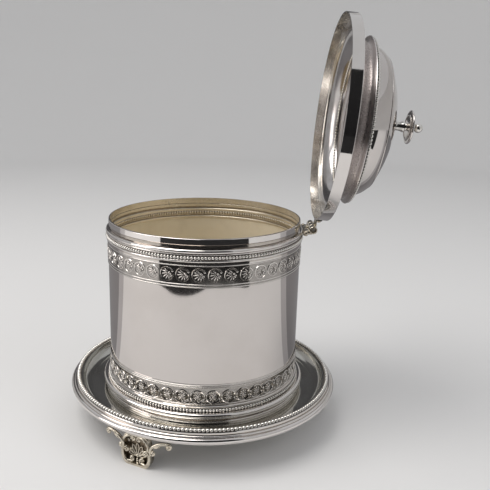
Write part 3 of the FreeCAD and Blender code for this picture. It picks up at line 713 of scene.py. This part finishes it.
jarBase = {
    "footMoulding": {
        "body": "jar", "node": "base_moulding", "look": "polishedSilver",
        "segments": 320, "fineness": 13, "dirtAndShade": 1.4,
        "outline": [
            (76.5, 26.0), (77.5, 26.0), (77.5, 26.6), (77.5, 28.3, 0.95, 1), (76.9, 28.6),
            (78.1, 30.4, 2.2, -1), (80.2, 32.5, 2.1, 1), (78.1, 34.6, 2.1, 1), (75.6, 34.2), (75.05, 34.2),
            (75.05, 36.9), (75.3, 37.1), (75.3, 38.3), (75.0, 38.6), (74.2, 38.6), (74.2, 35.0), (76.5, 32.2),
        ],
    },
    "trayDish": {
        "body": "jar", "node": "tray_dish", "look": "traySilver",
        "segments": 320, "fineness": 7, "dirtAndShade": 1.4,
        "outline": [
            (0, 25.0), (89.0, 25.0), (98.0, 34.0, 9.0, 1), (97.0, 34.0), (89.0, 26.0, 8.0, -1), (80.0, 26.0),
            (0, 26.0),
        ],
    },
    "trayBorder": {
        "body": "jar", "node": "tray_rim", "look": "polishedSilver",
        "segments": 360, "fineness": 15, "dirtAndShade": 1.4,
        "outline": [
            (96.794, 25.0), (102.95, 25.0), (103.65, 26.3, 0.9, 1), (104.2, 26.5), (104.2, 30.3, 1.92, 1),
            (103.5, 30.4), (102.4, 31.7, 0.95, 1), (102.1, 31.7), (102.0, 33.3), (101.7, 33.7), (98.4, 33.7),
            (98.0, 34.0), (96.794, 29.5, 9.0, -1),
        ],
    },
}
for name, values in jarBase.items():
    turnPiece(name, values)
print("tray spun")


# Cast feet

footValues = {
    "bearings": {"foot_right": 5.6, "foot_back": 125.6, "foot_front_left": 245.6},
    "floor": 98.2,           # radius of the dished shield's floor; its ornament is drawn with x from here
    "depth": 4.8, "dish": 3.4, "wall": 1.6, "ramp": 0.5, "top": 25.0,
    # half of the shield's edge: along the tray, and up
    "edge": [(0, 0.0), (7.7, 0.0), (9.6, 1.3), (11.1, 3.6), (11.85, 6.2), (12.1, 9.0), (12.1, 10.8),
             (11.9, 12.4), (11.4, 14.0), (10.6, 15.2), (10.75, 17.6), (10.4, 20.0), (9.2, 22.8), (7.1, 25.0),
             (0, 25.0)],
    "petals": 7, "petalRoot": (0, 6.6), "petalLean": 25, "petalLong": 9.9, "petalWide": 1.3,
    "petalWire": 0.42,
    # bosses down the middle: place and size
    "bosses": [((0.9, 0, 7.2), (1.0, 1.5, 1.2)), ((0.9, 0, 3.5), (1.3, 1.2, 2.1)),
               ((1.3, 0, 1.2), (1.3, 2.2, 0.9))],
    # small leaves beside the scrolls: y, z and lean
    "leaves": [(6.6, 15.6, -18), (5.0, 17.6, -8), (3.4, 9.9, -80)], "leafLong": 3.2, "leafWide": 0.55,
    "crest": (1.8, 0, 23.4), "crestSize": (1.6, 1.0, 1.5),
    "armRadius": 103.0, "armShift": 1.5,
}


def loopPetal(bm, root, degrees, long, wide):
    # a petal drawn as a raised line round a sunk core
    wire = footValues["petalWire"]
    half = [(0.3, 0.9), (wide * 0.75, long * 0.42), (wide, long * 0.72), (wide * 0.62, long * 0.95)]
    line = [(0.75, -y, z, wire) for y, z in half] + [(0.95, 0, long * 1.04, wire * 1.15)]
    line += [(0.75, y, z, wire) for y, z in half[::-1]]
    lean = Matrix.Rotation(math.radians(degrees), 3, "X")
    for i, (x, y, z, thick) in enumerate(line):
        place = lean @ Vector((x, y, z))
        line[i] = (place.x, place.y + root[0], place.z + root[1], thick)
    vine(bm, line, sides=2)
    verts = ball(bm, (0, 0, 0), (0.55, wide * 0.75, long * 0.42), 8, 6)
    bmesh.ops.translate(bm, verts=verts, vec=(0, 0, long * 0.55))
    bmesh.ops.rotate(bm, verts=verts, matrix=lean)
    bmesh.ops.translate(bm, verts=verts, vec=(0, root[0], root[1]))


def mirrored(points, side):
    return [(x, side * y, z, thick) for x, y, z, thick in points]


def shieldPlate(bm):
    # the shield faces +x, y runs along the tray's edge; its face is sunk inside a raised wall
    half = footValues["edge"]
    back = footValues["dish"] - footValues["depth"]
    edge = [bm.verts.new((back, y, z)) for y, z in half]
    edge += [bm.verts.new((back, -y, z)) for y, z in half[-2:0:-1]]
    face = bm.faces.new(edge)
    made = bmesh.ops.extrude_face_region(bm, geom=[face])
    front = [v for v in made["geom"] if isinstance(v, bmesh.types.BMVert)]
    bmesh.ops.translate(bm, verts=front, vec=(footValues["depth"], 0, 0))
    top = [f for f in made["geom"] if isinstance(f, bmesh.types.BMFace)]
    for width in (footValues["wall"], footValues["ramp"]):
        bmesh.ops.inset_region(bm, faces=top, thickness=width, depth=0.0, use_even_offset=True)
    bmesh.ops.translate(bm, verts=list({v for f in top for v in f.verts}), vec=(-footValues["dish"], 0, 0))
    bmesh.ops.recalc_face_normals(bm, faces=bm.faces)


def footShield():
    bm = bmesh.new()
    shieldPlate(bm)
    count = footValues["petals"] // 2
    # from the outside inwards, so that the middle petal lies on top
    for i in sorted(range(-count, count + 1), key=lambda i: (-abs(i), i)):
        loopPetal(bm, footValues["petalRoot"], footValues["petalLean"] * i,
                  footValues["petalLong"] - abs(i), footValues["petalWide"])
    for place, size in footValues["bosses"]:
        ball(bm, place, size, 12, 8)
    # edge scroll, wound up at both ends
    stem = curl((8.0, 11.5), 2.5, 0.6, 15, 1.15, 0.95, 0.55, 3.2, 1, 11)[::-1]
    stem += [(3.3, 11.0, 9.6, 1.0), (3.2, 10.9, 6.8, 1.2), (3.0, 9.7, 3.9, 1.25), (2.8, 7.6, 2.2, 1.1)]
    lower = curl((4.5, 4.6), 2.3, 0.6, -62, 1.15, 1.0, 0.55, 2.3, -1, 11)
    stem += [(x - 0.09 * i, y, z, thick) for i, (x, y, z, thick) in enumerate(lower)]
    # hood scroll above the palmette
    hood = [(3.2, 10.2, 15.0, 0.75), (3.4, 10.3, 17.6, 0.95), (3.4, 9.2, 20.9, 1.05), (3.2, 6.2, 23.0, 1.0)]
    hood += curl((2.5, 20.9), 2.1, 0.5, 62, 1.1, 0.85, 0.45, 2.7, 1, 10)
    for side in (-1, 1):
        vine(bm, mirrored(stem, side))
        vine(bm, mirrored(hood, side))
        for x, y, z, size in ((3.2, 8.0, 11.5, 1.0), (1.8, 4.6, 4.5, 1.0), (2.6, 2.5, 20.9, 0.75)):
            ball(bm, (x, side * y, z), size, 10, 8)
        for y, z, degrees in footValues["leaves"]:
            loopPetal(bm, (side * y, z), side * degrees, footValues["leafLong"], footValues["leafWide"])
    ball(bm, footValues["crest"], footValues["crestSize"], 10, 8)
    markHollows(bm, lambda co: 1.35 - co.x)
    bmesh.ops.translate(bm, vec=(footValues["floor"], 0, 0), verts=bm.verts)
    return bm


def footArms():
    # the scrolls that run out under the border, bent round with it
    bm = bmesh.new()
    stem = curl((12.8, 14.9), 2.1, 0.5, 185, 1.15, 0.95, 0.5, 0.2, 1, 10)[::-1]
    stem += [(0.0, 11.2, 17.4, 1.15), (0.0, 12.9, 19.9, 1.3), (0.0, 16.4, 22.0, 1.3), (0.0, 20.6, 23.2, 1.2)]
    stem += curl((24.2, 21.2), 2.2, 0.5, 92, 1.15, 1.1, 0.55, 0.2, -1, 11)
    leafLine = [(0.2, 13.6, 19.2, 0.5), (0.5, 15.4, 19.6, 0.8), (0.6, 17.4, 20.6, 0.7),
                (0.3, 19.0, 21.6, 0.3)]
    for side in (-1, 1):
        vine(bm, mirrored(stem, side))
        vine(bm, mirrored(leafLine, side))
        ball(bm, (0.4, side * 12.8, 14.9), 0.95, 10, 8)
        ball(bm, (0.4, side * 24.2, 21.2), 1.1, 10, 8)
    markHollows(bm, lambda co: 0.5 - co.x / 0.9)
    for v in bm.verts:
        angle = (v.co.y + footValues["armShift"]) / footValues["armRadius"]
        radius = footValues["armRadius"] + v.co.x
        v.co = (radius * math.cos(angle), radius * math.sin(angle), v.co.z)
    return bm


for node, bearing in footValues["bearings"].items():
    foot = footShield()
    join(foot, footArms())
    cutAway(foot, (0, 0, 0), (0, 0, -1))
    cutAway(foot, (0, 0, footValues["top"]), (0, 0, 1))
    closeHoles(foot)
    swing = Matrix.Rotation(math.radians(bearing), 3, "Z")
    bmesh.ops.rotate(foot, verts=foot.verts, cent=(0, 0, 0), matrix=swing)
    finishPiece("cast_" + node, foot, "jar", "castSilver", [node], crease=55)
print("feet cast")


# Lid

innerBeads = {"radius": 56.3, "height": 169.6, "size": 1.05, "count": 148}


def insideLip(f):
    # the lip's flare also faces down, but it is outside the lid
    middle = f.calc_center_median()
    return facesDown(f) and math.hypot(middle.x, middle.y) < innerBeads["radius"]


turnPiece("lidSkirt", {
    "body": "lid", "node": "lid_skirt", "look": "polishedSilver", "inside": ("lidInside", facesAxis),
    "segments": 320, "fineness": 12, "dirtAndShade": 0.5,
    "outline": [
        (74.3, 154.2), (75.0, 154.2), (75.0, 161.7), (74.4, 162.3, 0.6, 1), (70.4, 162.5), (70.4, 161.7),
        (73.7, 161.55), (74.3, 161.0, 0.7, -1),
    ],
})
turnPiece("lidShoulder", {
    "body": "lid", "node": "lid_shoulder", "look": "lidFlare", "inside": ("lidHollow", facesDown),
    "segments": 320, "fineness": 5, "dirtAndShade": 0.5,
    "outline": [(70.4, 161.7, 12.8, 1), (70.4, 162.5), (56.6, 171.6, 12.0, -1), (55.8, 171.6)],
})
turnPiece("lidLip", {
    "body": "lid", "node": "lid_collar", "look": "lidFlare", "inside": ("lidHollow", insideLip),
    "segments": 256, "fineness": 10, "dirtAndShade": 1.4,
    "outline": [
        (55.8, 171.6), (56.6, 171.6), (60.5, 173.4, 4.0, -1), (60.7, 173.9), (60.3, 174.2), (57.3, 174.2),
        (57.1, 174.9), (53.8, 174.9), (53.8, 174.1), (55.8, 172.4),
    ],
})

beads = bmesh.new()
ball(beads, (innerBeads["radius"], 0, innerBeads["height"]), innerBeads["size"], 8, 6)
markHollows(beads, lambda co: 0.5 + (co.x - innerBeads["radius"] + 0.35) / 0.7)
repeatRound(beads, innerBeads["count"])
finishPiece("lidInnerBeads", beads, "lid", "lidInside", crease=60)

turnPiece("lidDome", {
    "body": "lid", "node": "lid_dome", "look": "shadedDrumSilver", "inside": ("lidHollow", facesDown),
    "segments": 320, "fineness": 2.5, "dirtAndShade": 0.8,
    "outline": [
        (53.8, 174.9), (54.6, 174.9), (47.9, 187.8, 17.5, 1), (47.0, 188.6, 0.65, 1), (1.25, 200.89, 97.0, 1),
        (1.25, 200.09), (46.6, 187.7, 96.2, -1), (47.2, 187.2),
    ],
})
print("lid raised")


# Finial

finial = {
    "finialStem": {
        "body": "lid", "node": "finial_stem", "look": "beadSilver",
        "segments": 64, "fineness": 10, "dirtAndShade": 1.4, "even": False,
        "outline": [
            (1.25, 200.9), (4.2, 200.9), (4.2, 201.5), (3.2, 203.8, 3.2, -1), (3.2, 204.9),
            (4.1, 208.5, 8.0, -1), (4.1, 209.1), (2.6, 209.5), (2.4, 211.6, 1.3, 1), (1.25, 211.6),
        ],
    },
    "finialSaucer": {
        "body": "lid", "node": "finial_saucer", "look": "polishedSilver",
        "segments": 96, "fineness": 14, "dirtAndShade": 0.5, "even": False,
        "outline": [
            (1.25, 211.6), (3.4, 211.6), (7.9, 211.8), (9.3, 212.0, 0.8, 1), (11.0, 212.5),
            (12.3, 213.4, 1.0, 1), (11.2, 214.2, 0.95, 1), (10.5, 213.5), (4.0, 213.0), (2.8, 214.2),
            (1.25, 214.2),
        ],
    },
    "finialBall": {
        "body": "lid", "node": "finial_ball", "look": "beadSilver",
        "segments": 64, "fineness": 9, "dirtAndShade": 1.4, "even": False,
        "outline": [
            (0, 218.4), (1.25, 218.4), (1.25, 214.2), (2.6, 214.2), (2.1, 215.3), (2.1, 216.6), (1.9, 217.0),
            (0, 223.2, 3.4, 1),
        ],
    },
}
for name, values in finial.items():
    turnPiece(name, values)
print("finial turned")


# Hinge: a cast bracket with two knuckles, and the lid's leaf with one

knuckleValues = {"radius": 3.0, "round": 0.8, "bore": 1.25, "mouth": 1.9, "mouthDepth": 1.0}
bracketValues = {
    # low corner, high corner and rounding of each block, and of the cheek on either side
    "blocks": [((75.1, -13.4, 149.7), (78.0, 13.4, 153.3), 1.2),
               ((76.4, -5.0, 150.2), (79.1, 5.0, 153.5), 0.8)],
    "cheek": ((76.6, 4.5, 150.4), (82.6, 11.4, 153.6), 1.2),
    "knuckle": (4.3, 12.0),
    "knobs": [((77.3, 12.3, 151.7), (1.7, 1.9, 2.1)), ((79.6, 8.0, 153.0), (1.5, 2.2, 1.1))],
}
leafValues = {
    "outline": [(75.02, 155.2), (75.8, 155.2), (76.0, 155.4), (76.0, 159.0), (75.8, 159.2), (75.02, 159.2)],
    "half": 11.8,
    "tongue": ((75.4, -3.9, 155.3), (83.2, 3.9, 156.9), 0.6),
    "knuckle": (-4.0, 4.0),
    "knob": (76.1, 8.4, 157.3), "knobSize": (0.8, 1.7, 1.5),
}


def knuckle(target, low, high):
    big, soft, bore = (knuckleValues[k] for k in ("radius", "round", "bore"))
    flare, deep = knuckleValues["mouth"], knuckleValues["mouthDepth"]
    tube = turn([(bore, low + deep), (flare, low), (big - soft, low), (big, low + soft, soft, 1),
                 (big, high - soft), (big - soft, high, soft, 1), (flare, high), (bore, high - deep)], 40, 18)
    markCorners(tube, 0.6)
    alongY = Matrix.Rotation(math.radians(-90), 3, "X")
    bmesh.ops.rotate(tube, verts=tube.verts, cent=(0, 0, 0), matrix=alongY)
    bmesh.ops.translate(tube, verts=tube.verts, vec=hinge["pin"])
    join(target, tube)


def lump(target, low, high, soft):
    # a block with its edges worn round
    block = bmesh.new()
    bmesh.ops.create_cube(block, size=1.0)
    bmesh.ops.scale(block, verts=block.verts, vec=Vector(high) - Vector(low))
    bmesh.ops.translate(block, verts=block.verts, vec=(Vector(low) + Vector(high)) / 2)
    bmesh.ops.bevel(block, geom=block.edges[:], offset=soft, offset_type="OFFSET", affect="EDGES", segments=4,
                    profile=0.5, material=-1)
    join(target, block)


bracket = bmesh.new()
for low, high, soft in bracketValues["blocks"]:
    lump(bracket, low, high, soft)
for side in (-1, 1):
    low, high, soft = bracketValues["cheek"]
    near, far = sorted((side * low[1], side * high[1]))
    lump(bracket, (low[0], near, low[2]), (high[0], far, high[2]), soft)
    knuckle(bracket, *sorted(side * y for y in bracketValues["knuckle"]))
for side in (-1, 1):
    for (x, y, z), size in bracketValues["knobs"]:
        ball(bracket, (x, side * y, z), size, 14, 10)
finishPiece("hingeBracket", bracket, "jar", "castSilver", ["hinge_bracket"], crease=50)

# the leaf is a slice of a ring that fits the skirt
lidLeaf = turn(leafValues["outline"], 320, 15)
for side in (1, -1):
    cutAway(lidLeaf, (0, side * leafValues["half"], 0), (0, side, 0))
cutAway(lidLeaf, (0, 0, 0), (-1, 0, 0))
closeHoles(lidLeaf)
lump(lidLeaf, *leafValues["tongue"])
knuckle(lidLeaf, *leafValues["knuckle"])
for side in (-1, 1):
    x, y, z = leafValues["knob"]
    ball(lidLeaf, (x, side * y, z), leafValues["knobSize"], 14, 10)
finishPiece("hingeLidLeaf", lidLeaf, "lid", "castSilver", ["hinge_lid_leaf"], crease=50)
print("hinge fitted")


# CAD nodes that stay as they are take a finish of their own

for node in ("finial_stud", "finial_washer", "finial_nut", "hinge_pin"):
    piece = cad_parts[node]
    piece.data.materials.clear()
    piece.data.materials.append(finish["fastenerSteel"])


# Floor, backdrop and light, in metres

studio = {
    "floorColour": (0.74, 0.735, 0.73), "reach": 1.5, "rise": 1.1, "above": 0.6,
    "worldColour": (0.86, 0.87, 0.89), "worldStrength": 0.62,
    "lamps": [
        # place, aim, width, height, watts, colour
        ((-0.55, -0.30, 1.5), (0, 0, 0.12), 1.1, 0.9, 12.0, (1.0, 0.98, 0.95)),
        ((-1.25, -0.40, 0.55), (0, 0, 0.10), 0.6, 1.0, 4.5, (1.0, 0.95, 0.93)),
        ((1.15, -0.50, 0.8), (0, 0, 0.12), 0.9, 0.9, 3.5, (0.98, 0.98, 1.0)),
    ],
    # upright dark cards that only the silver sees, in front of the jar and behind it:
    # left, right, how far along y, low, high
    "frontCard": (-0.75, 0.70, -1.05, 0.0, 1.8),
    "backCard": (-0.9, 0.34, 1.2, 0.22, 0.95),
    # cards that lie on the floor, seen only by the silver: painted shade in its reflection of the floor;
    # degrees from straight ahead, and how near the jar each comes
    "darkFloor": [(-46, 0.445), (-38, 0.43), (-31, 0.415), (-18, 0.41), (-6, 0.42), (4, 0.44), (14, 0.455),
                  (34, 0.45), (52, 0.435)],
    "duskFloor": [(a, 0.125) for a in range(97, 264, 15)],
    "deepFloor": [(a, 0.125) for a in range(108, 253, 16)],
    "farEdge": 1.7,
}


def makePlain(name, colour, rough):
    material = bpy.data.materials.new(name)
    material.use_nodes = True
    shader = material.node_tree.nodes["Principled BSDF"]
    shader.inputs["Roughness"].default_value = rough
    shader.inputs["Base Color"].default_value = (*colour, 1.0)
    return material


def stagePiece(name, bm, material):
    mesh = bpy.data.meshes.new(name)
    bm.to_mesh(mesh)
    bm.free()
    mesh.materials.append(material)
    thing = bpy.data.objects.new(name, mesh)
    scene.collection.objects.link(thing)
    return thing


reach, rise = studio["reach"], studio["rise"]
sweep = bmesh.new()
drawOutline(sweep, [(0, 0), (reach, 0), (reach + rise, rise, rise, 1),
                    (reach + rise, rise + studio["above"])], 8)
closing = max(sweep.edges, key=lambda e: e.calc_length())
bmesh.ops.delete(sweep, geom=[closing], context="EDGES")
bmesh.ops.spin(sweep, geom=sweep.verts[:] + sweep.edges[:], cent=(0, 0, 0), axis=(0, 0, 1), angle=2 * math.pi,
               steps=96, use_merge=True)
bmesh.ops.remove_doubles(sweep, verts=sweep.verts, dist=0.001)
floor = stagePiece("floor", sweep, makePlain("paleFloor", studio["floorColour"], 0.85))
floor.data.shade_smooth()


def uprightCard(left, right, y, low, high):
    return [(left, y, low), (right, y, low), (right, y, high), (left, y, high)]


def floorCard(near, height):
    # a sector of the floor, from its near edge out to the far one
    corners = near + [(degrees, studio["farEdge"]) for degrees, radius in near[::-1]]
    return [(radius * math.sin(math.radians(degrees)), -radius * math.cos(math.radians(degrees)), height)
            for degrees, radius in corners]


# the cards' colours are painted dark reflections: only the silver sees them
blackCard = makePlain("blackCard", (0.008, 0.008, 0.009), 1.0)
greyCard = makePlain("greyCard", (0.09, 0.09, 0.095), 1.0)
duskCard = makePlain("duskCard", (0.46, 0.45, 0.455), 1.0)
deepCard = makePlain("deepCard", (0.24, 0.235, 0.24), 1.0)
cards = [
    (uprightCard(*studio["frontCard"]), blackCard), (floorCard(studio["darkFloor"], 0.002), blackCard),
    (uprightCard(*studio["backCard"]), greyCard), (floorCard(studio["duskFloor"], 0.002), duskCard),
    (floorCard(studio["deepFloor"], 0.003), deepCard),
]
for i, (corners, cardLook) in enumerate(cards):
    bm = bmesh.new()
    bm.faces.new([bm.verts.new(c) for c in corners])
    card = stagePiece("card%d" % i, bm, cardLook)
    card.visible_camera = False
    card.visible_diffuse = False
    card.visible_shadow = False

for i, (place, aim, width, height, watts, colour) in enumerate(studio["lamps"]):
    lamp = bpy.data.lights.new("lamp%d" % i, "AREA")
    lamp.shape = "RECTANGLE"
    lamp.size = width
    lamp.size_y = height
    lamp.energy = watts
    lamp.color = colour
    holder = bpy.data.objects.new("lamp%d" % i, lamp)
    holder.location = place
    holder.rotation_euler = (Vector(aim) - Vector(place)).to_track_quat("-Z", "Y").to_euler()
    holder.visible_camera = False            # a view from the side looks past it
    holder.visible_glossy = i < 2            # the third only fills, so that the dome stays plain
    scene.collection.objects.link(holder)

world = bpy.data.worlds.new("studioAir")
world.use_nodes = True
scene.world = world
air = world.node_tree.nodes["Background"]
air.inputs["Color"].default_value = (*studio["worldColour"], 1.0)
air.inputs["Strength"].default_value = studio["worldStrength"]

eye = {
    "place": (0.02266, -0.49706, 0.2706), "heading": 2.92, "down": 14.98, "roll": 0.63,
    "lens": 48.37, "shift": 0.0904,
}
heading, down, roll = (math.radians(eye[k]) for k in ("heading", "down", "roll"))
forward = Vector((-math.sin(heading) * math.cos(down), math.cos(heading) * math.cos(down), -math.sin(down)))
right = forward.cross(Vector((0, 0, 1))).normalized()
up = right.cross(forward)
tiltedRight = right * math.cos(roll) + up * math.sin(roll)
tiltedUp = up * math.cos(roll) - right * math.sin(roll)
facing = Matrix((tiltedRight, tiltedUp, -forward)).transposed().to_4x4()
lensData = bpy.data.cameras.new("eye")
lensData.sensor_width = 36
lensData.lens = eye["lens"]
lensData.shift_x = eye["shift"]
lensData.clip_start = 0.01
camera = bpy.data.objects.new("eye", lensData)
camera.matrix_world = Matrix.Translation(eye["place"]) @ facing
scene.collection.objects.link(camera)
scene.camera = camera
scene.view_settings.view_transform = "Standard"
print("studio lit")
